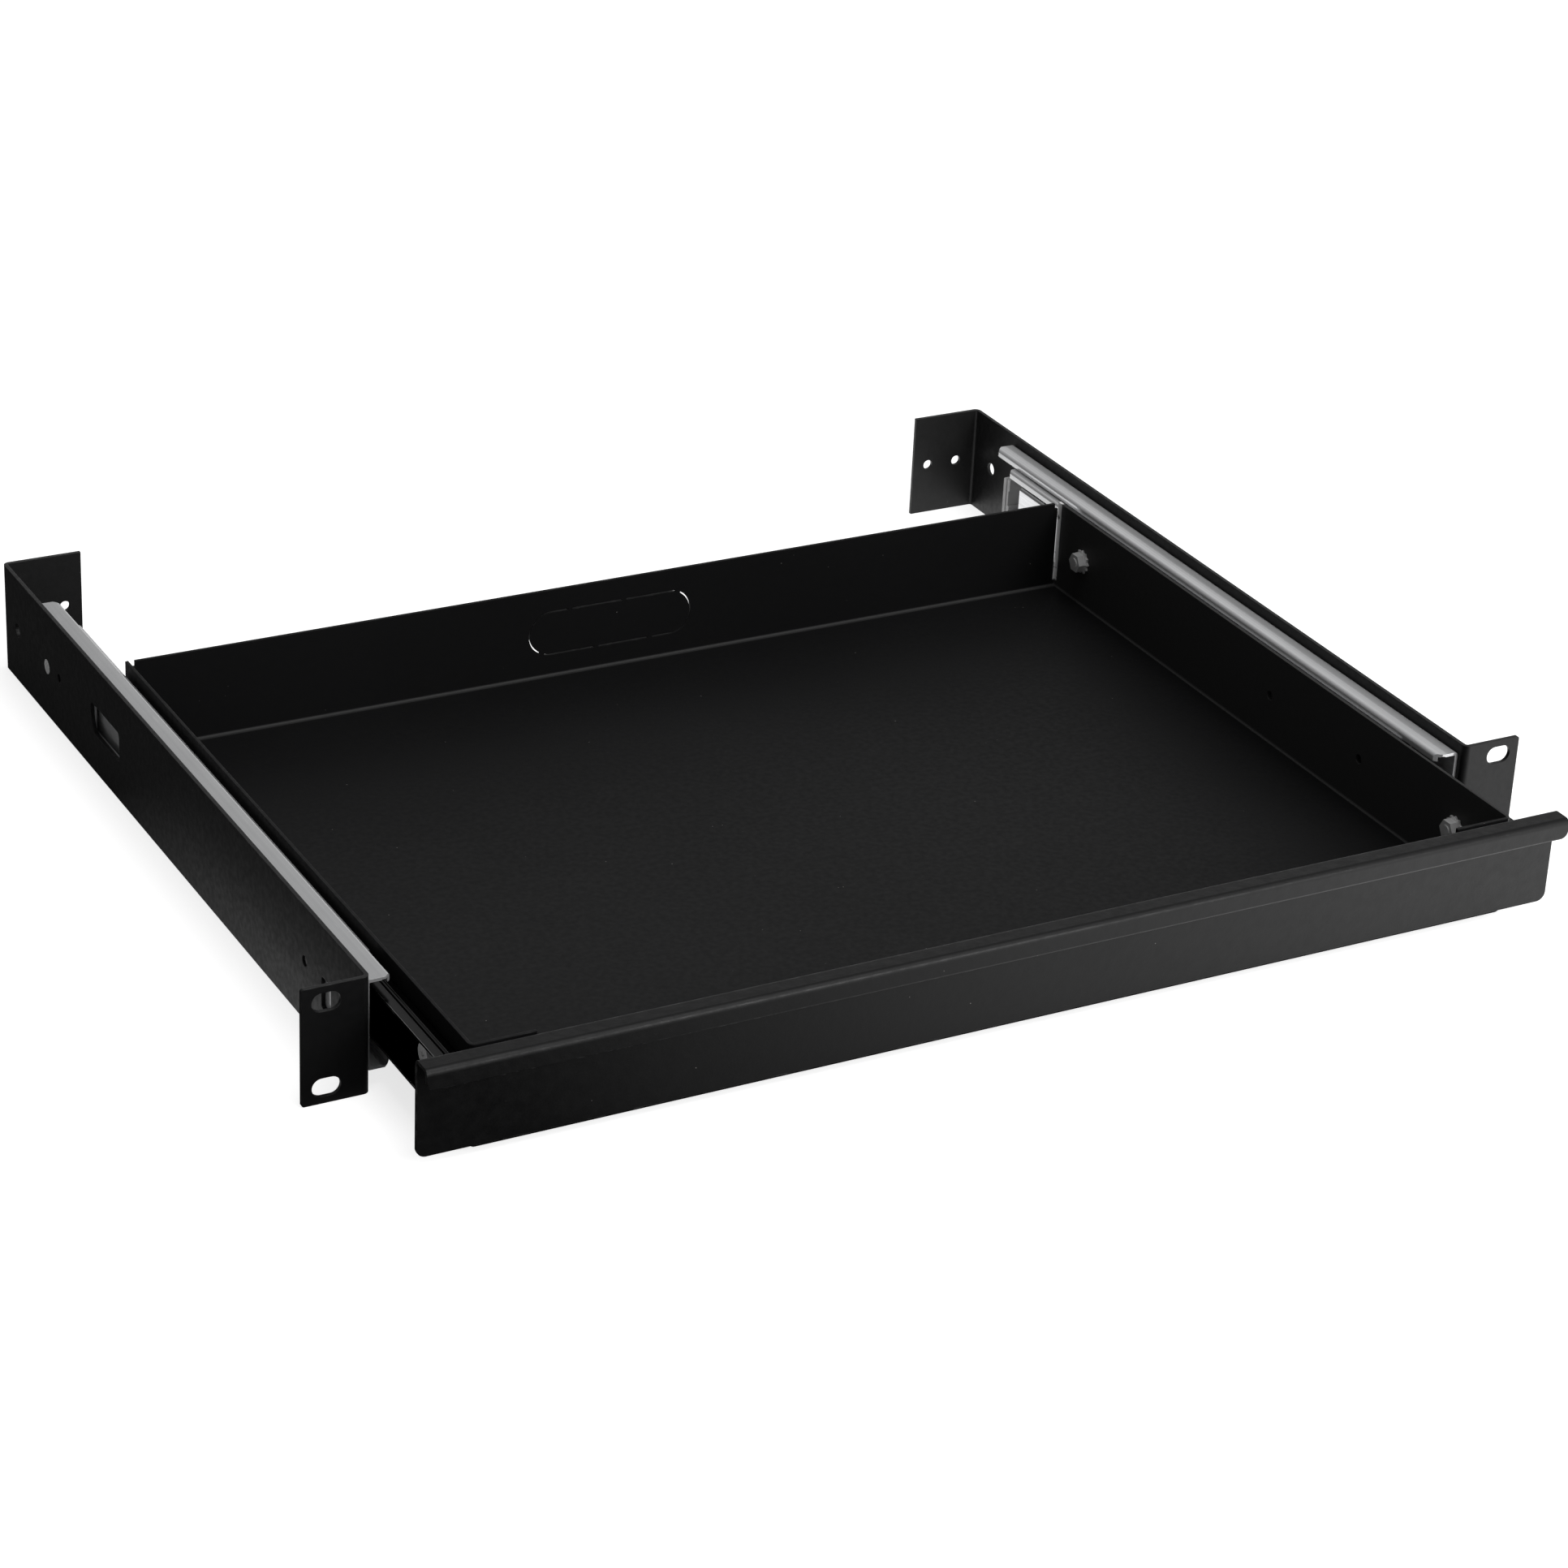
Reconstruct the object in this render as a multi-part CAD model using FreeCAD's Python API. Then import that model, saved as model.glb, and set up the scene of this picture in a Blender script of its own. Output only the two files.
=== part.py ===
import FreeCAD, Part
import math
import os

# One-unit sliding drawer for a 19 inch rack: a folded steel tray and front panel on two
# three-section ball-bearing slides, which hang in a pair of eared side brackets.
#
# Millimetres.  X runs across the rack, Y runs into it and Z is up.  The origin is the centre
# of the four ear slots, on the front plane of the ears.  The drawer is drawn open by `opening`.
# Everything paired is drawn for the left side (negative X) and mirrored for the right side.

V = FreeCAD.Vector

# ---- Rack interface -----------------------------------------------------------------------
ear_span = 482.6            # over both ears
ear_height = 43.7           # one rack unit less its play
ear_width = 22.8            # from the side plate's outer face
slot_edge = 8.75            # slot centre to the ear's outer edge
slot_pitch_z = 31.75        # ear slots of one rack unit
slot_length = 10.3
slot_height = 6.9
ear_corner = 1.0

# ---- Side brackets ------------------------------------------------------------------------
bracket_depth = 358.0       # ear front to back of the rear flange
bracket_sheet = 1.5
bracket_bend = 1.0          # inner bend radius
rear_flange = 31.3          # from the side plate's outer face
rear_hole = 4.2
rear_hole_edge = 7.0        # inner rear hole to the flange's free edge
rear_hole_pitch = 13.8
back_hole = 5.5             # plain hole near the rear end
back_hole_inset = 16.0      # from the back of the bracket
pilot_hole = 3.5
pilot_lead = 13.6           # pilot hole in front of the rear rail fixing
window_inset = 98.0         # back of the bracket to the access window
window_length = 30.0
window_height = 12.0
window_corner = 2.0
window_sweep = 6.0          # large radius at its lower rear corner
window_margin = 1.0         # how much larger the opening behind it is
port_lead = 30.0            # ear front to the small front opening
port_length = 8.0
port_height = 12.0
port_z = -3.0               # its middle
port_corner = 1.0

# ---- Slides: three rolled sections ----------------------------------------------------------
slide_width = 13.6          # side plate to tray wall
slide_z = 1.2               # slide's centre over mid height
ball = 3.0
race_play = 0.05            # ball to groove, and ball to cage pocket
race_depth = 0.35           # groove depth in each section
inner_height = 20.0         # over the drawer section
outer_sheet = 1.2
middle_sheet = 1.0
inner_sheet = 1.0
roll_bend = 0.3             # inner bend radius of all three sections
outer_start = 4.0
rear_space = 34.0           # outer section to the back of the bracket
outer_reach = 9.3           # flange width, web included
outer_lip = 3.0
outer_corner = 2.5          # bevel of the flanges at both ends, seen from above
outer_notch = 8.0           # at the rear the web ends this far before the flanges
outer_notch_height = 24.4
middle_shut = 51.5          # front end when the drawer is shut
middle_shorter = 40.0       # than the outer section
middle_gap = 1.4            # outer web to middle web
middle_reach = 9.7
middle_lip = 2.0            # lip height below the flange's inner face
middle_corner = 1.5
inner_setback = 4.5         # front panel's back to the inner section
inner_longer = 19.0         # than the outer section
inner_reach = 8.4
inner_corner = 1.5
race_outer = 6.4            # ball row of the outer pair, from the side plate
race_inner = 9.5            # ball row of the inner pair, from the side plate

# ---- Slide furniture ------------------------------------------------------------------------
cage_sheet = 0.5
cage_bend = 0.5
cage_margin = 8.0           # end of a cage to its first ball
balls_per_row = 3
ball_sides = 8              # flat facets round a ball
ball_bands = 4              # and from pole to pole
outer_cage_gap = 0.4        # outer web to cage web
outer_cage_shut = 90.5      # front end when the drawer is shut
outer_cage_length = 146.0
outer_cage_arm = 6.1
outer_cage_fork = 48.0      # length of the fork that passes the front rail screw
fork_height = 9.0
inner_cage_gap = 0.55       # middle web to cage web
inner_cage_shut = 135.5
inner_cage_length = 122.0
inner_cage_arm = 6.75
bumper_reach = 8.4          # from the outer face of the middle web
bumper_height = 16.6
bumper_length = 5.0         # behind the middle section
bumper_corner = 1.2
bumper_groove = 1.0         # upright groove in its inboard face, width and depth
bumper_waist = 6.6          # height of the set-back part between its two blocks
bumper_step = 0.8
tongue_length = 11.0        # of its clip, along the middle web
tongue_sheet = 1.4
tongue_height = 12.0

# ---- Fasteners --------------------------------------------------------------------------------
screw = 4.0                 # M4: front rail screws and all bolts
rivet = 5.8                 # rear rail rivets
screw_play = 0.15           # radial, screw to clearance hole
thread_play = 0.03          # radial, screw to its own thread
rail_fixing_y = 52.6        # front rail screw
rivet_inset = 15.4          # rear rail rivet to the section's rear end
rivet_drop = 2.2            # rear rail rivet under the slide's centre
rail_head = 7.0
rail_head_height = 1.0
screw_tip_inset = 0.5       # screw end below the bracket's outer face
drawer_fixing_lead = 25.0   # front bolt to the inner section's front end
drawer_fixing_tail = 54.0   # rear bolt to its rear end
bolt_head = 7.5
bolt_head_height = 2.2
bolt_socket = 2.5
bolt_socket_depth = 1.2
bolt_proud = 0.3            # thread past the nut
nut_flats = 7.0
nut_height = 3.2
washer_thick = 0.9
washer_outer = 10.0
washer_root = 8.4
washer_teeth = 12

# ---- Tray and front panel -------------------------------------------------------------------
opening = 47.0              # how far the drawer is drawn here
shut_gap = 0.5              # panel to ears when it is shut
tray_sheet = 1.2
tray_bend = 1.0
tray_shorter = 9.0          # than the outer section
tray_bottom = -19.85
tray_height = 37.8
front_flange = 23.5
flange_relief = 1.5         # flange bottom over the tray floor
corner_gap = 0.9            # open slit between side and back wall
corner_weld = 11.5          # closed height of the back corners
corner_notch = 2.3          # notch at the top of the slit, width and height
spare_hole = 3.6            # two spare holes in the right wall
spare_hole_setback = 91.0   # from the front panel's back
spare_hole_pitch = 60.0
knockout_x = -3.0
knockout_z = -0.5
knockout_length = 70.6
knockout_height = 18.7
knockout_slit = 0.5
knockout_tab = 2.0
knockout_tabs = 6
panel_overlap = 3.7         # panel past the side plate, at each end
panel_sheet = 1.2
panel_bend = 1.0
panel_bottom = -18.55
panel_height = 36.4
panel_flange = 9.3
panel_lip = 7.35
panel_corner = 3.5
lip_corner = 3.0

# ---- Worked out from the sizes above ------------------------------------------------------------
bracket_span = ear_span - 2 * ear_width
plate_outer = bracket_span / 2
plate_inner = plate_outer - bracket_sheet
slot_x = ear_span / 2 - slot_edge
tray_half = plate_inner - slide_width
inner_half = inner_height / 2
race_gap = ball + 2 * race_play - 2 * race_depth
middle_half = inner_half + race_gap + middle_sheet
outer_half = middle_half + race_gap + outer_sheet
race_radius = ball / 2 + race_play
race_inner_h = inner_half + race_gap / 2
race_outer_h = middle_half + race_gap / 2
middle_u = outer_sheet + middle_gap
outer_end = bracket_depth - rear_space
outer_length = outer_end - outer_start
middle_start = middle_shut - opening / 2
middle_length = outer_length - middle_shorter
middle_end = middle_start + middle_length
outer_cage_start = outer_cage_shut - opening / 4
inner_cage_start = inner_cage_shut - opening * 3 / 4
panel_back = -opening - shut_gap
inner_start = panel_back + inner_setback
inner_length = outer_length + inner_longer
tray_depth = outer_length - tray_shorter
tray_back = panel_back + tray_depth
tray_top = tray_bottom + tray_height
floor_top = tray_bottom + tray_sheet
clear_r = screw / 2 + screw_play
rivet_y = outer_end - rivet_inset
drawer_fixings = [inner_start + drawer_fixing_lead, inner_start + inner_length - drawer_fixing_tail]
wall_u = slide_width + tray_sheet


# ---- Helpers ------------------------------------------------------------------------------------
def sheet_face(path, sheet, bend, at):
    """Section of a folded sheet.  path runs along the middle of the sheet, bend is the inner
    radius of every fold and at(a, b) gives the 3-D point of a section point."""
    corners = [FreeCAD.Base.Vector2d(*p) for p in path]
    sides = []
    for side in (1, -1):
        sides.append(sheet_edge(corners, sheet, bend, side, at))
    left, right = sides
    ends = [Part.makeLine(left[2], right[2]), Part.makeLine(right[1], left[1])]
    edges = left[0] + [ends[0]] + list(reversed(right[0])) + [ends[1]]
    return Part.Face(Part.Wire(Part.__sortEdges__(edges)))


def sheet_edge(corners, sheet, bend, side, at):
    """Edges of one face of the folded sheet, with its first and last points."""
    middle = bend + sheet / 2
    runs = [unit(b - a) for a, b in zip(corners, corners[1:])]
    edges = []
    start = offset(corners[0], runs[0], side * sheet / 2)
    here = start
    for corner, before, after in zip(corners[1:-1], runs, runs[1:]):
        turn = math.atan2(before.x * after.y - before.y * after.x, before.x * after.x + before.y * after.y)
        reach = middle * math.tan(abs(turn) / 2)
        inward = unit(after - before)
        centre = corner + inward * (middle / math.cos(turn / 2))
        radius = middle - side * math.copysign(sheet / 2, turn)
        enter = offset(corner - before * reach, before, side * sheet / 2)
        leave = offset(corner + after * reach, after, side * sheet / 2)
        crest = centre - inward * radius
        edges.append(Part.makeLine(at(here.x, here.y), at(enter.x, enter.y)))
        edges.append(Part.Arc(at(enter.x, enter.y), at(crest.x, crest.y), at(leave.x, leave.y)).toShape())
        here = leave
    end = offset(corners[-1], runs[-1], side * sheet / 2)
    edges.append(Part.makeLine(at(here.x, here.y), at(end.x, end.y)))
    return edges, at(start.x, start.y), at(end.x, end.y)


def unit(v):
    return v * (1 / math.hypot(v.x, v.y))


def offset(point, along, distance):
    """Point moved sideways, to the left of the direction of travel."""
    return FreeCAD.Base.Vector2d(point.x - along.y * distance, point.y + along.x * distance)


def box(x0, x1, y0, y1, z0, z1):
    corner = V(min(x0, x1), min(y0, y1), min(z0, z1))
    return Part.makeBox(abs(x1 - x0), abs(y1 - y0), abs(z1 - z0), corner)


def rod(radius, start, along, length):
    return Part.makeCylinder(radius, length, start, along)


def obround(x, z, length, height, y0, y1):
    """Slot cutter along X, through Y from y0 to y1."""
    radius = height / 2
    half = length / 2 - radius
    tool = box(x - half, x + half, y0, y1, z - radius, z + radius)
    for end in (-half, half):
        tool = tool.fuse(rod(radius, V(x + end, y0, z), V(0, 1, 0), y1 - y0))
    return tool.removeSplitter()


def corner_cutter(radius, x, z, towards_x, towards_z, y0, y1):
    """What rounds off the corner at (x, z) of a plate that lies along XZ."""
    block = box(x, x + towards_x * radius, y0, y1, z, z + towards_z * radius)
    centre = V(x + towards_x * radius, y0, z + towards_z * radius)
    return block.cut(rod(radius, centre, V(0, 1, 0), y1 - y0))


def upright_corner(radius, x, y, towards_x, towards_y, z0, z1):
    """What rounds off the corner at (x, y) of a plate that lies along XY."""
    block = box(x, x + towards_x * radius, y, y + towards_y * radius, z0, z1)
    centre = V(x + towards_x * radius, y + towards_y * radius, z0)
    return block.cut(rod(radius, centre, V(0, 0, 1), z1 - z0))


def cut_all(shape, tools):
    for tool in tools:
        shape = shape.cut(tool)
    return shape


def fuse_all(shapes):
    return shapes[0].multiFuse(shapes[1:]).removeSplitter() if len(shapes) > 1 else shapes[0]


def left_x(u):
    """X of a point that lies u inboard of the left side plate's inner face."""
    return -plate_inner + u


def rail(path, sheet, start, length):
    """Rolled slide section on the left side; path is in (u, height over the slide's centre)."""
    face = sheet_face(path, sheet, roll_bend, lambda u, h: V(left_x(u), start, slide_z + h))
    return face.extrude(V(0, length, 0))


def channel(web_u, sheet, half, reach, lip, open_end):
    """Middle line of a C section: web at web_u, flanges towards open_end (+1 inboard, -1
    outboard), with lips where lip is more than nothing."""
    web = web_u + open_end * sheet / 2
    level = half - sheet / 2
    tip = web_u + open_end * reach
    if lip:
        edge = tip - open_end * sheet / 2
        return [(edge, half - lip), (edge, level), (web, level), (web, -level), (edge, -level), (edge, lip - half)]
    return [(tip, level), (web, level), (web, -level), (tip, -level)]


def race(u, height, start, length):
    """Two ball grooves, above and below the slide's centre."""
    tools = []
    for side in (1, -1):
        place = V(left_x(u), start - 1, slide_z + side * height)
        tools.append(rod(race_radius, place, V(0, 1, 0), length + 2))
    return tools


def section_corners(size, u_tip, inboard, start, length, half):
    """What bevels the tips of a section's flanges at both ends, seen from above."""
    tools = []
    tip = left_x(u_tip)
    low = slide_z - half
    for y, towards in ((start, 1), (start + length, -1)):
        points = [V(tip - inboard * size, y, low), V(tip, y + towards * size, low), V(tip, y, low)]
        tools.append(Part.Face(Part.makePolygon(points + points[:1])).extrude(V(0, 0, 2 * half)))
    return tools


def mirrored(shape):
    """The same piece on the right side."""
    return shape.mirror(V(0, 0, 0), V(1, 0, 0))


# ---- Brackets -----------------------------------------------------------------------------------
def bracket():
    half = bracket_sheet / 2
    edge = -plate_outer + rear_flange
    path = [
        (-ear_span / 2, half),
        (-plate_outer + half, half),
        (-plate_outer + half, bracket_depth - half),
        (edge, bracket_depth - half),
    ]
    face = sheet_face(path, bracket_sheet, bracket_bend, lambda x, y: V(x, y, -ear_height / 2))
    plate = face.extrude(V(0, 0, ear_height))
    back = bracket_depth - bracket_sheet
    tools = []
    for side in (1, -1):
        slot_z = side * slot_pitch_z / 2
        ear_z = side * ear_height / 2
        tools.append(obround(-slot_x, slot_z, slot_length, slot_height, -1, bracket_sheet + 1))
        tools.append(corner_cutter(ear_corner, -ear_span / 2, ear_z, 1, -side, -1, bracket_sheet + 1))
    for count in (0, 1):
        x = edge - rear_hole_edge - count * rear_hole_pitch
        tools.append(rod(rear_hole / 2, V(x, back - 1, 0), V(0, 1, 0), bracket_sheet + 2))
    holes = [
        (bracket_depth - back_hole_inset, 0, back_hole),
        (rivet_y - pilot_lead, 0, pilot_hole),
        (rail_fixing_y, slide_z, screw + 2 * thread_play),
        (rivet_y, slide_z - rivet_drop, rivet + 2 * thread_play),
    ]
    for y, z, size in holes:
        tools.append(rod(size / 2, V(-plate_outer - 1, y, z), V(1, 0, 0), bracket_sheet + 2))
    tools += [rounded_window(), front_port()]
    return cut_all(plate, tools)


def front_port():
    """Small upright opening near the front of the side plate."""
    half = port_height / 2
    back = port_lead + port_length
    block = box(-plate_outer - 1, -plate_inner + 1, port_lead, back, port_z - half, port_z + half)
    return block.makeFillet(port_corner, [e for e in block.Edges if e.BoundBox.XLength > bracket_sheet])


def window(x0, x1, margin):
    """Access window in the side plate; with a margin, the plain opening behind it."""
    front = bracket_depth - window_inset - window_length
    half = window_height / 2
    return box(x0, x1, front - margin, front + window_length + margin, -half - margin, half + margin)


def rounded_window():
    """The window's own corners: three small ones and a large one, low at its rear."""
    block = window(-plate_outer - 1, -plate_inner + 1, 0)
    along_x = [e for e in block.Edges if abs(e.tangentAt(e.FirstParameter).x) > 0.9]
    rearmost = max(e.BoundBox.YMin for e in along_x)
    swept = [e for e in along_x if e.BoundBox.ZMax < 0 and e.BoundBox.YMin == rearmost]
    plain = [e for e in along_x if not e.isSame(swept[0])]
    tool = block.makeFillet(window_corner, plain)
    swept = [e for e in tool.Edges if e.BoundBox.ZMax < 0 and e.BoundBox.XLength > bracket_sheet
             and abs(e.BoundBox.YMin - rearmost) < 0.01 and e.BoundBox.ZLength < 0.01]
    return tool.makeFillet(window_sweep, swept)


# ---- Slides -------------------------------------------------------------------------------------
def outer_rail():
    """Fixed section.  Its web is cut back at the rear and opens behind the bracket's window."""
    profile = channel(0, outer_sheet, outer_half, outer_reach, outer_lip, 1)
    body = rail(profile, outer_sheet, outer_start, outer_length)
    tools = race(race_outer, race_outer_h, outer_start, outer_length)
    tools += section_corners(outer_corner, outer_reach, 1, outer_start, outer_length, outer_half)
    low = slide_z - outer_notch_height / 2
    high = slide_z + outer_notch_height / 2
    inside = left_x(outer_sheet + roll_bend)
    tools.append(box(left_x(-1), inside, outer_end - outer_notch, outer_end + 1, low, high))
    tools.append(window(left_x(-1), left_x(outer_sheet + 1), window_margin))
    for y, z, size in rail_fixings():
        tools.append(rod(size / 2 + screw_play, V(left_x(-1), y, z), V(1, 0, 0), outer_sheet + 2))
    return cut_all(body, tools)


def rail_fixings():
    """Place and shank of the screw and the rivet that hold the outer section."""
    return [(rail_fixing_y, slide_z, screw), (rivet_y, slide_z - rivet_drop, rivet)]


def middle_rail():
    profile = channel(middle_u, middle_sheet, middle_half, middle_reach, middle_sheet + middle_lip, 1)
    body = rail(profile, middle_sheet, middle_start, middle_length)
    tools = race(race_outer, race_outer_h, middle_start, middle_length)
    tools += race(race_inner, race_inner_h, middle_start, middle_length)
    tools += section_corners(middle_corner, middle_u + middle_reach, 1, middle_start, middle_length, middle_half)
    return cut_all(body, tools)


def end_bumper():
    """Plastic stop behind the middle section, with a tongue that clips onto its web."""
    front = middle_end
    back = middle_end + bumper_length
    half = bumper_height / 2
    inboard = left_x(middle_u + bumper_reach)
    head = box(left_x(middle_u), inboard, front, back, slide_z - half, slide_z + half)
    rear_edges = [e for e in head.Edges if e.BoundBox.YMin > back - 0.01 and e.BoundBox.ZLength < 0.01]
    head = head.makeFillet(bumper_corner, [e for e in rear_edges if e.BoundBox.XLength > 1])
    groove_y = (front + back) / 2
    head = head.cut(box(inboard - bumper_groove, inboard + 1, groove_y - bumper_groove / 2,
                        groove_y + bumper_groove / 2, slide_z - half - 1, slide_z + half + 1))
    tongue_u = middle_u + middle_sheet
    head = head.cut(box(left_x(tongue_u + tongue_sheet), inboard + 1, front - 1, front + bumper_step,
                        slide_z - bumper_waist / 2, slide_z + bumper_waist / 2))
    tongue = box(left_x(tongue_u), left_x(tongue_u + tongue_sheet), front - tongue_length, front + bumper_step,
                 slide_z - tongue_height / 2, slide_z + tongue_height / 2)
    return head.fuse(tongue).removeSplitter()


def inner_rail():
    profile = channel(slide_width, inner_sheet, inner_half, inner_reach, 0, -1)
    body = rail(profile, inner_sheet, inner_start, inner_length)
    tools = race(race_inner, race_inner_h, inner_start, inner_length)
    tools += section_corners(inner_corner, slide_width - inner_reach, -1, inner_start, inner_length, inner_half)
    for y in drawer_fixings:
        tools.append(rod(clear_r, V(left_x(slide_width - inner_sheet - 1), y, 0), V(1, 0, 0), inner_sheet + 2))
    return cut_all(body, tools)


def cage(web_u, arm, height, start, length, race_u, fork):
    """Folded strip with a pocket for each ball, forked at the front where it passes a screw."""
    web = web_u + cage_sheet / 2
    tip = web_u + arm
    path = [(tip, height), (web, height), (web, -height), (tip, -height)]
    face = sheet_face(path, cage_sheet, cage_bend, lambda u, h: V(left_x(u), start, slide_z + h))
    body = face.extrude(V(0, length, 0))
    tools = []
    if fork:
        tools.append(box(left_x(web_u - 1), left_x(web_u + cage_sheet + 1), start - 1, start + fork,
                         slide_z - fork_height / 2, slide_z + fork_height / 2))
    r = race_radius
    for y in ball_places(start, length):
        tools.append(box(left_x(race_u - r), left_x(race_u + r), y - r, y + r,
                         slide_z - height - 1, slide_z + height + 1))
    return cut_all(body, tools)


def ball_places(start, length):
    pitch = (length - 2 * cage_margin) / (balls_per_row - 1)
    return [start + cage_margin + i * pitch for i in range(balls_per_row)]


def balls(race_u, height, start, length):
    made = []
    for y in ball_places(start, length):
        for side in (1, -1):
            made.append(bearing_ball().translated(V(left_x(race_u), y, slide_z + side * height)))
    return Part.makeCompound(made)


def bearing_ball():
    """Ball with flat facets, whose corners lie on the true ball."""
    radius = ball / 2
    rings = []
    for band in range(ball_bands + 1):
        tilt = math.pi * band / ball_bands
        ring = []
        for side in range(ball_sides):
            turn = 2 * math.pi * side / ball_sides
            around = radius * math.sin(tilt)
            ring.append(V(around * math.cos(turn), around * math.sin(turn), radius * math.cos(tilt)))
        rings.append(ring)
    faces = []
    for upper, lower in zip(rings, rings[1:]):
        for i in range(ball_sides):
            j = (i + 1) % ball_sides
            corners = [upper[i], lower[i], lower[j], upper[j]]
            if upper is rings[0]:
                corners = corners[:3]
            if lower is rings[-1]:
                corners = [upper[i], lower[i], upper[j]]
            faces.append(Part.Face(Part.makePolygon(corners + corners[:1])))
    return Part.Solid(Part.makeShell(faces))


# ---- Fasteners ----------------------------------------------------------------------------------
def rail_screws():
    """Low-head screw at the front and rivet at the rear, through the outer web into the bracket."""
    made = []
    for y, z, size in rail_fixings():
        inset = screw_tip_inset if size == screw else 0
        tip = V(left_x(-bracket_sheet + inset), y, z)
        shank = rod(size / 2, tip, V(1, 0, 0), bracket_sheet - inset + outer_sheet)
        head = rod(rail_head / 2, V(left_x(outer_sheet), y, z), V(1, 0, 0), rail_head_height)
        made.append(shank.fuse(head))
    return Part.makeCompound(made)


def drawer_bolts():
    """Pan-head bolts through the inner section and the tray wall, with a hexagon socket."""
    made = []
    head_u = slide_width - inner_sheet - bolt_head_height
    length = inner_sheet + tray_sheet + washer_thick + nut_height + bolt_proud
    for y in drawer_fixings:
        head = rod(bolt_head / 2, V(left_x(head_u), y, 0), V(1, 0, 0), bolt_head_height)
        head = head.cut(hexagon(bolt_socket, left_x(head_u) - 1, y, bolt_socket_depth + 1))
        shank = rod(screw / 2, V(left_x(slide_width - inner_sheet), y, 0), V(1, 0, 0), length)
        made.append(head.fuse(shank).removeSplitter())
    return Part.makeCompound(made)


def hexagon(flats, x, y, length):
    """Hexagonal bar along X, centred at mid height."""
    radius = flats / math.sqrt(3)
    points = [V(x, y + radius * math.cos(math.radians(60 * i)), radius * math.sin(math.radians(60 * i)))
              for i in range(7)]
    return Part.Face(Part.makePolygon(points)).extrude(V(length, 0, 0))


def keps_nuts():
    """Hexagon nuts inside the tray."""
    made = []
    start = left_x(wall_u + washer_thick)
    for y in drawer_fixings:
        bar = hexagon(nut_flats, start, y, nut_height)
        bore = rod(screw / 2 + thread_play, V(start - 1, y, 0), V(1, 0, 0), nut_height + 2)
        made.append(bar.cut(bore))
    return Part.makeCompound(made)


def lock_washers():
    """Toothed washers between the nuts and the tray wall."""
    made = []
    start = left_x(wall_u)
    for y in drawer_fixings:
        points = []
        for i in range(washer_teeth * 2):
            radius = washer_root / 2 if i % 2 else washer_outer / 2
            angle = math.pi * i / washer_teeth
            points.append(V(start, y + radius * math.cos(angle), radius * math.sin(angle)))
        star = Part.Face(Part.makePolygon(points + points[:1])).extrude(V(washer_thick, 0, 0))
        bore = rod(screw / 2 + screw_play, V(start - 1, y, 0), V(1, 0, 0), washer_thick + 2)
        made.append(star.cut(bore))
    return Part.makeCompound(made)


# ---- Tray ---------------------------------------------------------------------------------------
def drawer_tray():
    half = tray_sheet / 2
    wall = tray_half - half
    path = [(-wall, tray_top), (-wall, tray_bottom + half), (wall, tray_bottom + half), (wall, tray_top)]
    face = sheet_face(path, tray_sheet, tray_bend, lambda x, z: V(x, panel_back, z))
    trough = face.extrude(V(0, tray_depth, 0))
    tray = fuse_all([trough, back_wall(), front_return(-1), front_return(1)])
    tools = [flange_corner(-1), flange_corner(1)]
    slit_front = tray_back - tray_sheet - tray_bend - 1
    for side in (-1, 1):
        edge = side * (tray_half - tray_sheet)
        for width, bottom in ((corner_gap, tray_bottom + corner_weld), (corner_notch, tray_top - corner_notch)):
            tools.append(box(edge, edge - side * width, slit_front, tray_back + 1, bottom, tray_top + 1))
    for y in drawer_fixings:
        tools.append(rod(clear_r, V(-tray_half - 1, y, 0), V(1, 0, 0), 2 * tray_half + 2))
    for count in (0, 1):
        y = panel_back + spare_hole_setback + count * spare_hole_pitch
        tools.append(rod(spare_hole / 2, V(tray_half - tray_sheet - 1, y, 0), V(1, 0, 0), tray_sheet + 2))
    tools += knockout()
    return cut_all(tray, tools)


def back_wall():
    """Folded up from the floor, between the side walls."""
    half = tray_sheet / 2
    wall = tray_back - half
    width = 2 * (tray_half - half)
    path = [(wall - 10, tray_bottom + half), (wall, tray_bottom + half), (wall, tray_top)]
    face = sheet_face(path, tray_sheet, tray_bend, lambda y, z: V(-width / 2, y, z))
    return face.extrude(V(width, 0, 0))


def front_return(side):
    """Flange that is folded inward behind the front panel."""
    half = tray_sheet / 2
    wall = side * (tray_half - half)
    level = panel_back + half
    low = floor_top + flange_relief
    path = [(wall, panel_back + 8), (wall, level), (side * (tray_half - front_flange), level)]
    face = sheet_face(path, tray_sheet, tray_bend, lambda x, y: V(x, y, low))
    return face.extrude(V(0, 0, tray_top - low))


def flange_corner(side):
    """Rounds the fold between side wall and front flange."""
    radius = tray_bend + tray_sheet
    return upright_corner(radius, side * tray_half, panel_back, -side, 1, floor_top + flange_relief, tray_top + 1)


def knockout():
    """Slit round the cable knock-out, in lengths that leave small tabs."""
    y0 = tray_back - tray_sheet - 1
    y1 = tray_back + 1
    outer = obround(knockout_x, knockout_z, knockout_length, knockout_height, y0, y1)
    inner = obround(knockout_x, knockout_z, knockout_length - 2 * knockout_slit,
                    knockout_height - 2 * knockout_slit, y0, y1)
    ring = outer.cut(inner)
    spacing = knockout_length / knockout_tabs
    for i in range(knockout_tabs):
        side = 1 if i % 2 else -1
        x = knockout_x - knockout_length / 2 + (i + 0.5) * spacing
        z = knockout_z + side * knockout_height / 2
        ring = ring.cut(box(x - knockout_tab / 2, x + knockout_tab / 2, y0, y1, z - 2, z + 2))
    return [ring]


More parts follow.
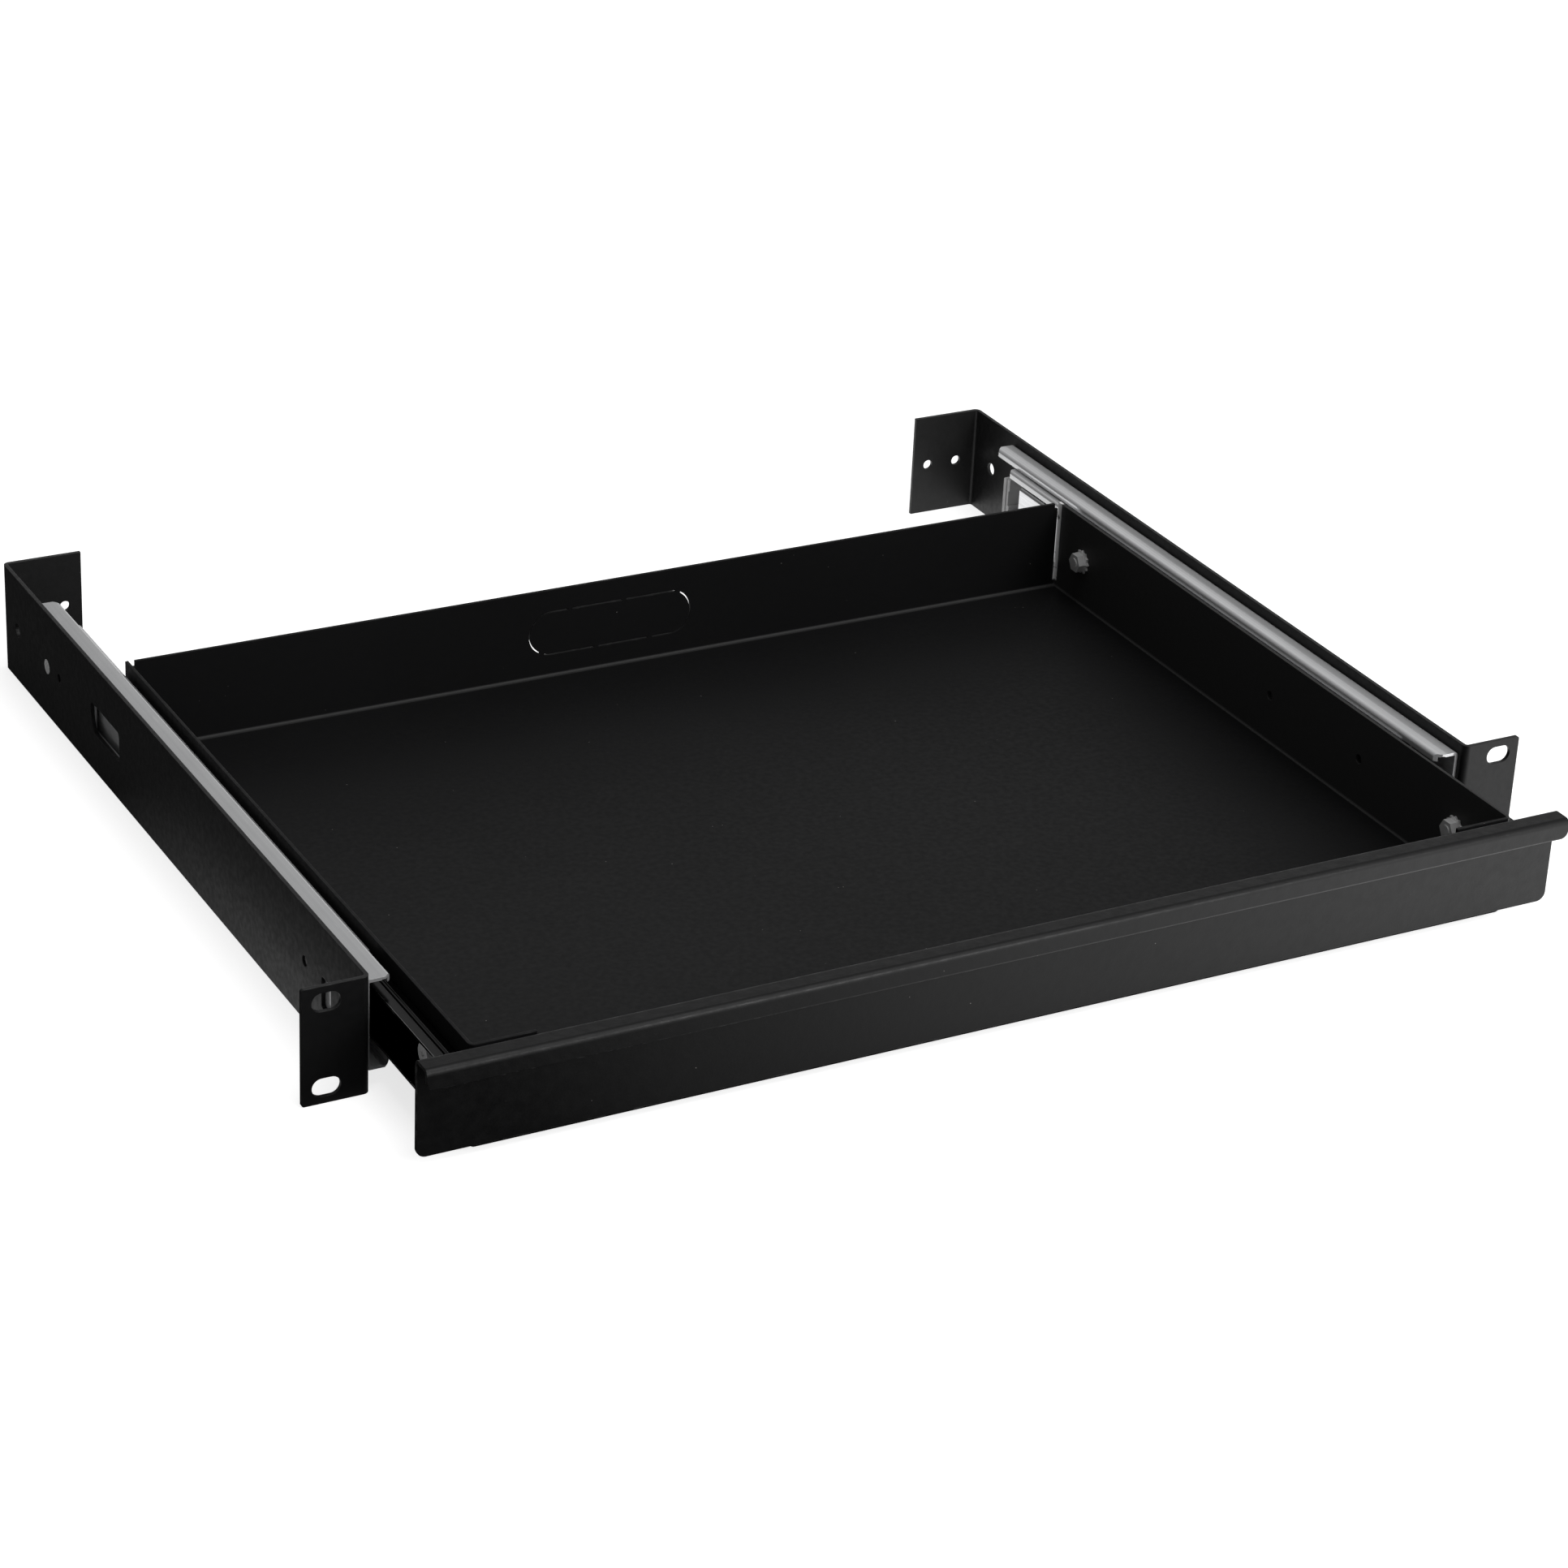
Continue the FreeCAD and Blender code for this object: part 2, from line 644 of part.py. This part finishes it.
# ---- Front panel --------------------------------------------------------------------------------
def front_panel():
    half = panel_sheet / 2
    panel_half = plate_outer + panel_overlap
    top = panel_bottom + panel_height
    wall = panel_back - half
    lip = panel_back - panel_flange + half
    path = [(wall, panel_bottom), (wall, top - half), (lip, top - half), (lip, top - panel_lip)]
    face = sheet_face(path, panel_sheet, panel_bend, lambda y, z: V(-panel_half, y, z))
    body = face.extrude(V(2 * panel_half, 0, 0))
    tools = []
    for side in (-1, 1):
        x = side * panel_half
        tools.append(corner_cutter(panel_corner, x, panel_bottom, -side, 1, wall - panel_sheet, wall + panel_sheet))
        tools.append(corner_cutter(lip_corner, x, top - panel_lip, -side, 1, lip - panel_sheet, lip + panel_sheet))
    return cut_all(body, tools)


# ---- Write the pieces ---------------------------------------------------------------------------
def paired():
    """Left-hand pieces, which are used again, mirrored, on the right."""
    outer_web = outer_sheet + outer_cage_gap
    inner_web = middle_u + middle_sheet + inner_cage_gap
    return {
        "bracket": bracket(),
        "outer_rail": outer_rail(),
        "rail_screws": rail_screws(),
        "end_bumper": end_bumper(),
        "middle_rail": middle_rail(),
        "outer_cage": cage(outer_web, outer_cage_arm, race_outer_h, outer_cage_start, outer_cage_length,
                           race_outer, outer_cage_fork),
        "outer_balls": balls(race_outer, race_outer_h, outer_cage_start, outer_cage_length),
        "inner_cage": cage(inner_web, inner_cage_arm, race_inner_h, inner_cage_start, inner_cage_length,
                           race_inner, 0),
        "inner_balls": balls(race_inner, race_inner_h, inner_cage_start, inner_cage_length),
        "inner_rail": inner_rail(),
        "drawer_bolts": drawer_bolts(),
        "keps_nuts": keps_nuts(),
        "lock_washers": lock_washers(),
    }


def write(name, shape):
    shape.exportStep("parts/" + name + ".step")


os.makedirs("parts", exist_ok=True)
for name, shape in paired().items():
    write("left_" + name, shape)
    write("right_" + name, mirrored(shape))
write("drawer_tray", drawer_tray())
write("front_panel", front_panel())
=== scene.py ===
import math

import bmesh
import bpy
from mathutils import Matrix, Vector


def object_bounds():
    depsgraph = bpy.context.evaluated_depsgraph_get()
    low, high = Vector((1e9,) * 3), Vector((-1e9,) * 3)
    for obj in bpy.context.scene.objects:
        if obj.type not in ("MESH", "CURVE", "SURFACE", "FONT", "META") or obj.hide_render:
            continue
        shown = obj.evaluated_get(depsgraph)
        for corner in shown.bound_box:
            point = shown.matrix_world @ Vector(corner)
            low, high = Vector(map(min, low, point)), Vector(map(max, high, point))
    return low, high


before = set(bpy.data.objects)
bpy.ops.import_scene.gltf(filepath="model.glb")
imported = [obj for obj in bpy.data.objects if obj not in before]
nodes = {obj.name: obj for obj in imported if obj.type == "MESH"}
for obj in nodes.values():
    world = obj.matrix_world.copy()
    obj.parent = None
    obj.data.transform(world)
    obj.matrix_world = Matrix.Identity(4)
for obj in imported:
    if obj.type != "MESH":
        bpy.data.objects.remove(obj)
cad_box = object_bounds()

MM = 0.001
SIDES = ("left", "right")

# ---- Colours, linear ------------------------------------------------------------------------
COAT = (0.0065, 0.0065, 0.0068)             # powder coat of the brackets
COAT_TRAY = (0.0078, 0.0078, 0.0081)
COAT_FRONT = (0.0045, 0.0045, 0.0047)
# The two sides' zinc is one plate in a shaded copy on the left and a lit copy on the right: painted
# shade and painted light.
ZINC_SHADED_LEFT = (0.66, 0.665, 0.672)            # outer and middle sections
ZINC_LIT_RIGHT = (0.90, 0.905, 0.915)
ZINC_INNER = (0.74, 0.745, 0.755)
ZINC_DULL = (0.42, 0.42, 0.43)
BRIGHT_ZINC = (0.88, 0.88, 0.88)
BALL_STEEL = (0.78, 0.78, 0.79)
BUMPER_WHITE = (0.8, 0.8, 0.8)
BARE_STEEL = (0.36, 0.36, 0.37)             # where an edge of the coat is rubbed through
DUST = (0.30, 0.29, 0.28)
FRONT_SCREW_DARK = (0.012, 0.012, 0.012)          # darker colour of the front rail screws
INNER_FRONT_SHADE = (0.03, 0.03, 0.03)                 # painted shade on the front of the inner sections
RIGHT_WALL_PAINTED_LIGHT = (0.038, 0.038, 0.038)           # painted light on the tray's right wall
FOLD_PAINTED_HIGHLIGHT = (0.045, 0.045, 0.045)           # painted highlight along the tray's folds
LIP_EDGE_HIGHLIGHT = (0.09, 0.09, 0.09)             # painted highlight on the lower edge of the pull lip
REAR_FLANGE_PAINTED_LIGHT = (0.024, 0.024, 0.024)           # painted light on the brackets' rear flanges
FLOOR_WHITE = (0.86, 0.86, 0.86)
FLOOR_DARK = (0.03, 0.03, 0.03)             # the floor's left part, in reflections only

# ---- Where a finish begins, in metres: the first value has none of it and the second all ------
FRONT_TOP_Z = (0.0172, 0.0177)              # upper face of the front panel's flange
LIP_Y = (-0.0554, -0.0556)
LIP_EDGE_Z = (0.01095, 0.01080)
LIP_HIGHLIGHT_X = (-0.15, 0.2)
REAR_FLANGE_Y = (0.3562, 0.3568)
RIGHT_WALL_X = (0.2016, 0.2021)             # the tray's right wall and above the floor's fold
RIGHT_WALL_Z = (-0.0195, -0.0175)
RIGHT_FOLD_X = (0.2013, 0.2015)             # the tray's folds, between two heights
BACK_FOLD_Y = (0.2604, 0.2606)
FOLD_FOOT_Z = (-0.0188, -0.0186)
FOLD_TOP_Z = (-0.0179, -0.0182)
SLIT_X = (0.2012, 0.2014)                   # the tray's right back corner
SLIT_Y = (0.2606, 0.2607)
SLIT_Z = (-0.0165, -0.0155)
FRONT_SHADE_END_Y = (0.02, 0.12)                 # past the painted shade
DARK_FIXING_END_Y = (0.1, 0.2)                 # past the dark front screws

# ---- Stage ------------------------------------------------------------------------------------
FLOOR_REACH = 8.0
CAMERA_GLOW = 0.75                          # lifts the floor to white, for camera rays only
FLOOR_LIT_X = (-0.18, 0.22)                 # the floor's reflection grows from dark to white
STRIP_INNER_X = (-0.2, -0.21)               # strip of floor beside the left bracket
STRIP_OUTER_X = (-0.242, -0.232)
STRIP_Y = (0.24, 0.06)
STRIP_LIGHT = 0.42
HAZE_OUTER_X = (-0.3, -0.28)                # fainter and wider round it
HAZE_LIGHT = 0.03
EAR_PLANE_Y = (-0.005, 0.015)               # neither reaches in front of the ears
WORLD_RISE_Z = (0.02, 0.35)                 # horizon to overhead, as heights of a direction
OVERHEAD_LIGHT = 0.48
WORLD_ACROSS_X = (-0.6, 0.5)
WORLD_LEFT_LIGHT = 0.2

# ---- Camera -----------------------------------------------------------------------------------
CAMERA_AZIMUTH = -29.1885
CAMERA_ELEVATION = 26.4795
CAMERA_ROLL = 2.8335
CAMERA_DISTANCE = 1.6431
CAMERA_AIM = Vector((0.0, 0.150, -0.00185))
CAMERA_SIDE = 0.01394
CAMERA_RISE = -0.01574
CAMERA_LENS = 100.943
CAMERA_SENSOR = 36
CAMERA_NEAR = 0.05
CAMERA_FAR = 50

# ---- Shader nodes -----------------------------------------------------------------------------
MIX_A = 6                                   # colour sockets of the Mix node, by number
MIX_B = 7
MIX_RESULT = 2
BEVEL_SAMPLES = 6
NOISE_RANGE = (0.3, 0.7)                    # where most values of a noise lie


def shade(colour, factor):
    return tuple(channel * factor for channel in colour)


class Tree:
    """Short calls for the nodes used here, in a material's or the world's node tree."""

    def __init__(self, owner, shader, coordinates):
        owner.use_nodes = True
        self.owner = owner
        self.nodes = owner.node_tree.nodes
        self.links = owner.node_tree.links
        self.shader = self.nodes[shader]
        self.place = self.add("ShaderNodeTexCoord").outputs[coordinates]

    def add(self, kind, **values):
        node = self.nodes.new(kind)
        for key, value in values.items():
            setattr(node, key, value)
        return node

    def link(self, output, socket):
        self.links.new(output, socket)

    def stretched(self, x, y, z, turn=(0, 0, 0)):
        """The coordinates, stretched along each axis and turned."""
        node = self.add("ShaderNodeMapping")
        node.inputs["Scale"].default_value = (x, y, z)
        node.inputs["Rotation"].default_value = turn
        self.link(self.place, node.inputs["Vector"])
        return node.outputs["Vector"]

    def noise(self, scale, detail=2.0, rough=0.5, place=None, distort=0.0):
        node = self.add("ShaderNodeTexNoise")
        node.inputs["Scale"].default_value = scale
        node.inputs["Detail"].default_value = detail
        node.inputs["Roughness"].default_value = rough
        node.inputs["Distortion"].default_value = distort
        self.link(place or self.place, node.inputs["Vector"])
        return node.outputs["Fac"]

    def cells(self, scale):
        node = self.add("ShaderNodeTexVoronoi")
        node.inputs["Scale"].default_value = scale
        self.link(self.place, node.inputs["Vector"])
        return node.outputs["Distance"]

    def ramp(self, value, low, high, low_to=0.0, high_to=1.0):
        node = self.add("ShaderNodeMapRange")
        node.inputs["From Min"].default_value = low
        node.inputs["From Max"].default_value = high
        node.inputs["To Min"].default_value = low_to
        node.inputs["To Max"].default_value = high_to
        self.link(value, node.inputs["Value"])
        return node.outputs["Result"]

    def spread(self, noise, low, high):
        """A noise's usual values, spread from low to high."""
        return self.ramp(noise, *NOISE_RANGE, low, high)

    def fade(self, axis, ends, low_to=0.0, high_to=1.0):
        """low_to at the first of two places along an axis and high_to at the second."""
        split = self.add("ShaderNodeSeparateXYZ")
        self.link(self.place, split.inputs[0])
        return self.ramp(split.outputs[axis], *ends, low_to, high_to)

    def maths(self, operation, a, b):
        node = self.add("ShaderNodeMath", operation=operation)
        for socket, value in zip(node.inputs, (a, b)):
            if isinstance(value, (int, float)):
                socket.default_value = value
            else:
                self.link(value, socket)
        return node.outputs["Value"]

    def product(self, first, *others):
        for other in others:
            first = self.maths("MULTIPLY", first, other)
        return first

    def blend(self, factor, a, b):
        """Mix of two colours, each a tuple or an output."""
        node = self.add("ShaderNodeMix", data_type="RGBA")
        self.link(factor, node.inputs["Factor"])
        for socket, value in zip((node.inputs[MIX_A], node.inputs[MIX_B]), (a, b)):
            if isinstance(value, tuple):
                socket.default_value = (*value, 1)
            else:
                self.link(value, socket)
        return node.outputs[MIX_RESULT]

    def bump(self, height, strength, distance, under):
        node = self.add("ShaderNodeBump")
        node.inputs["Strength"].default_value = strength
        node.inputs["Distance"].default_value = distance
        self.link(height, node.inputs["Height"])
        self.link(under, node.inputs["Normal"])
        return node.outputs["Normal"]

    def soft_edge(self, radius):
        """Normal of an edge that is rounded by this radius."""
        node = self.add("ShaderNodeBevel", samples=BEVEL_SAMPLES)
        node.inputs["Radius"].default_value = radius
        return node.outputs["Normal"]

    def edge_mask(self, radius, strength):
        """1 where the surface is near a sharp edge."""
        geometry = self.add("ShaderNodeNewGeometry")
        dot = self.add("ShaderNodeVectorMath", operation="DOT_PRODUCT")
        self.link(self.soft_edge(radius), dot.inputs[0])
        self.link(geometry.outputs["Normal"], dot.inputs[1])
        return self.ramp(dot.outputs["Value"], 1.0, 1.0 - strength)

    def set(self, **values):
        for key, value in values.items():
            socket = self.shader.inputs[key.replace("_", " ")]
            if isinstance(value, (int, float, tuple)):
                socket.default_value = (*value, 1) if isinstance(value, tuple) else value
            else:
                self.link(value, socket)


def finish(name):
    """Tree of a new material."""
    return Tree(bpy.data.materials.new(name), "Principled BSDF", "Object")


# ---- Painted light on one part: each takes a coat's tone and gloss and returns both ------------
def bracket_painted_light(t, tone, gloss):
    """Painted light on the rear flange: paler than the coat."""
    return t.blend(t.fade("Y", REAR_FLANGE_Y), tone, REAR_FLANGE_PAINTED_LIGHT), gloss


def front_painted_light(t, tone, gloss):
    """Painted highlight on the lip's lower edge, growing to the right, and half the gloss on the
    flange.
    """
    # painted highlight along the lip's lower edge
    rubbed = t.product(t.fade("Y", LIP_Y), t.fade("Z", LIP_EDGE_Z), t.fade("X", LIP_HIGHLIGHT_X))
    return t.blend(rubbed, tone, LIP_EDGE_HIGHLIGHT), t.fade("Z", FRONT_TOP_Z, gloss, 0.5 * gloss)


def tray_painted_light(t, tone, gloss):
    """Painted light on the right wall, a painted highlight along the folds and a bright ragged line
    painted as light in the right back slit.
    """
    # painted light: the right wall is made lighter than the coat
    wall = t.product(t.fade("X", RIGHT_WALL_X), t.fade("Z", RIGHT_WALL_Z))
    tone = t.blend(wall, tone, RIGHT_WALL_PAINTED_LIGHT)
    # painted highlight along the tray's folds
    folds = t.maths("MAXIMUM", t.fade("X", RIGHT_FOLD_X), t.fade("Y", BACK_FOLD_Y))
    fold_highlight = t.product(folds, t.fade("Z", FOLD_FOOT_Z), t.fade("Z", FOLD_TOP_Z))
    tone = t.blend(fold_highlight, tone, FOLD_PAINTED_HIGHLIGHT)
    # a bright ragged line painted where light shows through the right back slit
    ragged = t.ramp(t.noise(scale=260, detail=3, rough=0.6), low=0.36, high=0.4)
    slit_painted_light = t.product(t.fade("X", SLIT_X), t.fade("Y", SLIT_Y), t.fade("Z", SLIT_Z), ragged)
    return t.blend(slit_painted_light, tone, BRIGHT_ZINC), gloss


# ---- Materials --------------------------------------------------------------------------------
def coat_tone(t, colour, rub):
    """Black coat in soft clouds, with edges rubbed by `rub` and a few specks of dust."""
    cloud = t.ramp(t.noise(scale=9, detail=3), low=0.35, high=0.65)
    edges = t.edge_mask(radius=0.5 * MM, strength=0.25)
    rubbed = t.ramp(t.noise(scale=300, detail=3), low=0.5, high=0.75, high_to=rub)
    specks = t.ramp(t.cells(scale=260), low=0.055, high=0.03)
    sparse = t.ramp(t.noise(scale=60, detail=1), low=0.62, high=0.66)
    tone = t.blend(cloud, colour, shade(colour, 1.2))
    tone = t.blend(t.product(edges, rubbed), tone, BARE_STEEL)
    return t.blend(t.product(specks, sparse), tone, DUST)


def powder_coat(name, colour, rough, gloss, peel, peel_scale, rub, painted_light):
    """Fine textured black powder coat, with orange peel and smudges."""
    t = finish(name)
    grain = t.noise(scale=1400, detail=3, rough=0.6)
    peel_noise = t.noise(scale=peel_scale)
    streaky = t.noise(scale=26, detail=4, rough=0.6, distort=0.6, place=t.stretched(1, 1.6, 2.2))
    smudge = t.ramp(streaky, low=0.56, high=0.74, high_to=-0.03)
    # the part's painted light and highlights go over the coat's tone
    tone, gloss = painted_light(t, coat_tone(t, colour, rub), gloss)
    roughness = t.maths("ADD", t.spread(peel_noise, rough - 0.06, rough + 0.06), smudge)
    edge = t.soft_edge(radius=0.35 * MM)
    normal = t.bump(peel_noise, strength=peel, distance=0.12 * MM, under=edge)
    normal = t.bump(grain, strength=0.6 * peel, distance=0.04 * MM, under=normal)
    t.set(Base_Color=tone, Roughness=roughness, Normal=normal, Specular_IOR_Level=gloss)
    return t.owner


def front_shade_and_edge_highlights(t, tone):
    """Painted shade over the front part, and painted highlights on the edges."""
    tone = t.blend(t.fade("Y", FRONT_SHADE_END_Y), INNER_FRONT_SHADE, tone)
    # painted highlight along the edges
    return t.blend(t.edge_mask(radius=0.35 * MM, strength=0.25), tone, BRIGHT_ZINC)


def rolled_zinc(name, colour, rough, metal, inner=False):
    """Zinc plate on a rolled section: fine lines along the slide, clouds and scuffs."""
    t = finish(name)
    cloud = t.noise(scale=35, detail=4, rough=0.6)
    lines = t.noise(scale=1, detail=4, rough=0.65, place=t.stretched(2600, 3, 2600))
    bands = t.noise(scale=1, place=t.stretched(800, 2, 800))
    slanted = t.stretched(900, 60, 900, turn=(0, 0, 0.12))
    scuffs = t.noise(scale=1, detail=3, rough=0.6, place=slanted)
    tone = t.blend(cloud, colour, shade(colour, 0.82))
    tone = t.blend(t.ramp(bands, low=0.35, high=0.65, high_to=0.25), tone, ZINC_DULL)
    tone = t.blend(t.ramp(lines, low=0.4, high=0.7, high_to=0.35), tone, ZINC_DULL)
    tone = t.blend(t.ramp(scuffs, low=0.62, high=0.7, high_to=0.2), tone, BRIGHT_ZINC)
    # the inner sections get painted shade at the front and painted highlights on their edges
    if inner:
        tone = front_shade_and_edge_highlights(t, tone)
    roughness = t.spread(lines, rough - 0.05, rough + 0.05)
    edge = t.soft_edge(radius=0.12 * MM)
    normal = t.bump(lines, strength=0.15, distance=0.02 * MM, under=edge)
    t.set(Base_Color=tone, Roughness=roughness, Normal=normal, Metallic=metal)
    return t.owner


def plated_zinc(name, rough, dark_front=False):
    """Barrel-plated zinc on small parts, darker on those at the front if asked."""
    t = finish(name)
    cloud = t.noise(scale=160, detail=3, rough=0.6)
    dents = t.noise(scale=900, detail=3, rough=0.6)
    tone = t.blend(cloud, BRIGHT_ZINC, shade(BRIGHT_ZINC, 0.8))
    if dark_front:
        tone = t.blend(t.fade("Y", DARK_FIXING_END_Y), FRONT_SCREW_DARK, tone)
    edge = t.soft_edge(radius=0.1 * MM)
    normal = t.bump(dents, strength=0.1, distance=0.02 * MM, under=edge)
    roughness = t.spread(cloud, rough, rough + 0.1)
    t.set(Base_Color=tone, Roughness=roughness, Normal=normal, Metallic=0.35)
    return t.owner


def moulded_plastic(name, colour):
    """Pale plastic with a fine grain."""
    t = finish(name)
    cloud = t.noise(scale=220, detail=3)
    tone = t.blend(cloud, colour, shade(colour, 0.9))
    edge = t.soft_edge(radius=0.2 * MM)
    normal = t.bump(t.noise(scale=2500), strength=0.15, distance=0.02 * MM, under=edge)
    t.set(Base_Color=tone, Roughness=t.spread(cloud, 0.38, 0.5), Normal=normal)
    return t.owner


def polished_steel(name, colour):
    """Bearing steel under a thin film of oil."""
    t = finish(name)
    film = t.noise(scale=700)
    tone = t.blend(film, colour, shade(colour, 0.85))
    t.set(Base_Color=tone, Roughness=t.spread(film, 0.08, 0.16), Metallic=1.0)
    return t.owner


# ---- Dressing ---------------------------------------------------------------------------------
def dress(node, material):
    """Gives a CAD node its finish."""
    nodes[node].active_material = material


def dress_pairs(material, *parts):
    for part in parts:
        for side in SIDES:
            dress(side + "_" + part, material)


def dress_coated():
    bracket = powder_coat("coat_bracket", COAT, rough=0.46, gloss=0.3, peel=0.2,
                          peel_scale=420, rub=0.25, painted_light=bracket_painted_light)
    tray = powder_coat("coat_tray", COAT_TRAY, rough=0.5, gloss=0.11, peel=0.2,
                       peel_scale=420, rub=0.12, painted_light=tray_painted_light)
    front = powder_coat("coat_front", COAT_FRONT, rough=0.42, gloss=0.36, peel=1.0,
                        peel_scale=260, rub=0.4, painted_light=front_painted_light)
    dress_pairs(bracket, "bracket")
    dress("drawer_tray", tray)
    dress("front_panel", front)


def dress_slides():
    # each side gets its own copy of one zinc, shaded on the left and lit on the right: painted
    # shade and painted light
    for side, colour in zip(SIDES, (ZINC_SHADED_LEFT, ZINC_LIT_RIGHT)):
        zinc = rolled_zinc("zinc_" + side, colour, rough=0.16, metal=0.45)
        dress(side + "_outer_rail", zinc)
        dress(side + "_middle_rail", zinc)
    inner = rolled_zinc("zinc_inner", ZINC_INNER, rough=0.15, metal=1.0, inner=True)
    strip = rolled_zinc("zinc_strip", ZINC_DULL, rough=0.36, metal=1.0)
    dress_pairs(inner, "inner_rail")
    dress_pairs(strip, "outer_cage", "inner_cage")
    for part in ("outer_balls", "inner_balls"):
        dress_pairs(polished_steel("steel_" + part, BALL_STEEL), part)
    dress_pairs(moulded_plastic("plastic_bumper", BUMPER_WHITE), "end_bumper")


def dress_fasteners():
    hardware = plated_zinc("zinc_hardware", rough=0.15)
    fixings = plated_zinc("zinc_rail_fixings", rough=0.22, dark_front=True)
    dress_pairs(hardware, "drawer_bolts", "keps_nuts", "lock_washers")
    dress_pairs(fixings, "rail_screws")


# ---- Stage ------------------------------------------------------------------------------------
def reflected_light(t):
    """How light the floor is in reflections: 0 on the left, 1 on the right, and a dim strip
    with a faint haze round it beside the left bracket."""
    outside = t.fade("X", STRIP_INNER_X)
    haze = t.product(outside, t.fade("X", HAZE_OUTER_X, 0.0, HAZE_LIGHT))
    strip = t.product(outside, t.fade("X", STRIP_OUTER_X), t.fade("Y", STRIP_Y, 0.0, STRIP_LIGHT))
    beside = t.product(t.maths("ADD", haze, strip), t.fade("Y", EAR_PLANE_Y))
    return t.maths("MAXIMUM", t.fade("X", FLOOR_LIT_X), beside)


def floor_paper():
    """White paper.  A glow for camera rays alone makes it a white background that keeps the
    shadow; reflections see it by reflected_light, at a strength of 1 at most."""
    t = finish("floor_paper")
    paths = t.add("ShaderNodeLightPath")
    lit = reflected_light(t)
    unlit = t.product(paths.outputs["Is Glossy Ray"], t.maths("SUBTRACT", 1.0, lit))
    seen = t.product(paths.outputs["Is Camera Ray"], CAMERA_GLOW)
    mirrored = t.product(paths.outputs["Is Glossy Ray"], lit)
    t.set(Base_Color=t.blend(unlit, FLOOR_WHITE, FLOOR_DARK), Roughness=0.9, Specular_IOR_Level=0.0)
    t.set(Emission_Color=(1.0, 1.0, 1.0), Emission_Strength=t.maths("ADD", seen, mirrored))
    return t.owner


def studio_floor():
    """Wide plain floor right under the object."""
    mesh = bpy.data.meshes.new("floor")
    bm = bmesh.new()
    bmesh.ops.create_grid(bm, x_segments=1, y_segments=1, size=FLOOR_REACH)
    bm.to_mesh(mesh)
    bm.free()
    mesh.materials.append(floor_paper())
    floor = bpy.data.objects.new("floor", mesh)
    floor.location = (0, 0, cad_box[0].z)
    bpy.context.scene.collection.objects.link(floor)


def area_light(name, place, aim, size, power):
    """Square lamp that faces the point it aims at."""
    light = bpy.data.lights.new(name, "AREA")
    light.size = size
    light.energy = power
    lamp = bpy.data.objects.new(name, light)
    lamp.location = place
    lamp.rotation_mode = "QUATERNION"
    lamp.rotation_quaternion = (Vector(aim) - Vector(place)).to_track_quat("-Z", "Y")
    bpy.context.scene.collection.objects.link(lamp)


def studio_world():
    """White at the horizon, greyer overhead, and dimmer towards -X."""
    world = bpy.data.worlds.new("studio")
    t = Tree(world, "Background", "Generated")
    overhead = t.fade("Z", WORLD_RISE_Z, 1.0, OVERHEAD_LIGHT)
    across = t.fade("X", WORLD_ACROSS_X, WORLD_LEFT_LIGHT, 1.0)
    t.set(Color=(1.0, 1.0, 1.0), Strength=t.product(overhead, across))
    bpy.context.scene.world = world


def studio():
    studio_floor()
    studio_world()
    area_light("key", place=(0.5, -1.0, 0.55), aim=(0.1, 0, 0), size=0.4, power=4)
    area_light("top", place=(0.3, -0.4, 2.0), aim=(0, 0.1, 0), size=1.4, power=14)


def photo_camera():
    """The camera that the main view is rendered from."""
    a, e, roll = (math.radians(v) for v in (CAMERA_AZIMUTH, CAMERA_ELEVATION, CAMERA_ROLL))
    back = Vector((math.sin(a) * math.cos(e), -math.cos(a) * math.cos(e), math.sin(e)))
    right = Vector((math.cos(a), math.sin(a), 0))
    up = back.cross(right)
    place = CAMERA_AIM + back * CAMERA_DISTANCE + right * CAMERA_SIDE + up * CAMERA_RISE
    x = right * math.cos(roll) + up * math.sin(roll)
    y = up * math.cos(roll) - right * math.sin(roll)
    data = bpy.data.cameras.new("photo_camera")
    data.lens = CAMERA_LENS
    data.sensor_width = CAMERA_SENSOR
    data.clip_start = CAMERA_NEAR
    data.clip_end = CAMERA_FAR
    camera = bpy.data.objects.new("photo_camera", data)
    camera.matrix_world = Matrix.Translation(place) @ Matrix((x, y, back)).transposed().to_4x4()
    bpy.context.scene.collection.objects.link(camera)
    bpy.context.scene.camera = camera


photo_camera()
studio()
dress_coated()
dress_slides()
dress_fasteners()
bpy.context.scene.view_settings.view_transform = "Standard"
